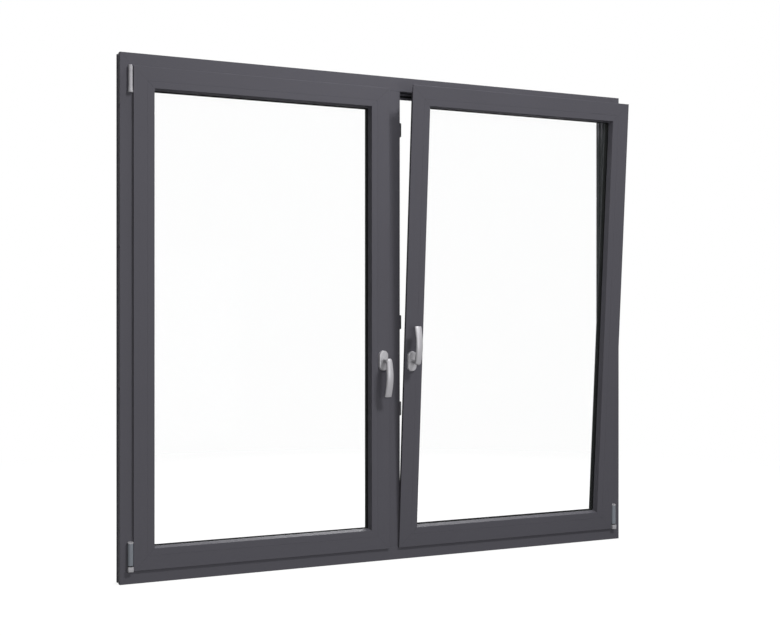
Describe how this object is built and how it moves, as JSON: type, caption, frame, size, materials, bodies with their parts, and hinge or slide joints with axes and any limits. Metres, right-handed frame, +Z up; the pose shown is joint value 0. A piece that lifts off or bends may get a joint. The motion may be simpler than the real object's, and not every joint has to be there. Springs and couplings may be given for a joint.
{
  "type": "two-sash tilt-and-turn aluminium window",
  "caption": "Two-sash aluminium window with a fixed mullion, dark grey powder coat and silver handles; one sash shut, the other tilted inwards.",
  "frame": {"origin": "middle of the frame's underside, on the flat foot of its room-side aluminium shell", "axes": "+X to the right as seen from the room, +Y from the room to the outside, +Z up"},
  "size_m": [1.7, 0.1633, 1.5],
  "materials": {
    "powder_coated_aluminium": "fine matt dark grey powder coat on extruded aluminium",
    "black_polyamide": "glass-filled polyamide strip, matt",
    "black_rubber_seal": "black EPDM rubber, matt",
    "glass_spacer": "black warm-edge spacer bar",
    "clear_glass": "clear float glass",
    "silver_handle": "matt silver anodised casting",
    "silver_hardware": "matt silver hinge cover",
    "zinc_hardware": "bright zinc-plated steel"
  },
  "bodies": {
    "root": {"frame_head": "powder_coated_aluminium", "frame_jamb_left": "powder_coated_aluminium", "frame_jamb_right": "powder_coated_aluminium", "frame_mullion": "powder_coated_aluminium", "frame_sill": "powder_coated_aluminium", "frame_stop_seals": "black_rubber_seal", "frame_thermal_strips": "black_polyamide", "left_hinge_bottom": "silver_hardware", "left_hinge_top": "silver_hardware", "left_sash_bottom_rail": "powder_coated_aluminium", "left_sash_glass": "clear_glass", "left_sash_glass_spacer": "glass_spacer", "left_sash_glazing_bead_bottom": "powder_coated_aluminium", "left_sash_glazing_bead_left": "powder_coated_aluminium", "left_sash_glazing_bead_right": "powder_coated_aluminium", "left_sash_glazing_bead_top": "powder_coated_aluminium", "left_sash_handle_lever": "silver_handle", "left_sash_handle_rosette": "silver_handle", "left_sash_left_stile": "powder_coated_aluminium", "left_sash_right_stile": "powder_coated_aluminium", "left_sash_seals": "black_rubber_seal", "left_sash_setting_blocks": "black_polyamide", "left_sash_thermal_strips": "black_polyamide", "left_sash_top_rail": "powder_coated_aluminium", "mullion_strikers": "zinc_hardware", "right_hinge_bottom": "silver_hardware", "right_hinge_top": "silver_hardware", "right_sash_bottom_rail": "powder_coated_aluminium", "right_sash_glass": "clear_glass", "right_sash_glass_spacer": "glass_spacer", "right_sash_glazing_bead_bottom": "powder_coated_aluminium", "right_sash_glazing_bead_left": "powder_coated_aluminium", "right_sash_glazing_bead_right": "powder_coated_aluminium", "right_sash_glazing_bead_top": "powder_coated_aluminium", "right_sash_handle_lever": "silver_handle", "right_sash_handle_rosette": "silver_handle", "right_sash_left_stile": "powder_coated_aluminium", "right_sash_locking_strip": "zinc_hardware", "right_sash_right_stile": "powder_coated_aluminium", "right_sash_seals": "black_rubber_seal", "right_sash_setting_blocks": "black_polyamide", "right_sash_thermal_strips": "black_polyamide", "right_sash_top_rail": "powder_coated_aluminium", "right_stay_arm": "zinc_hardware", "sill_drain_covers": "black_polyamide"}
  },
  "joints": []
}
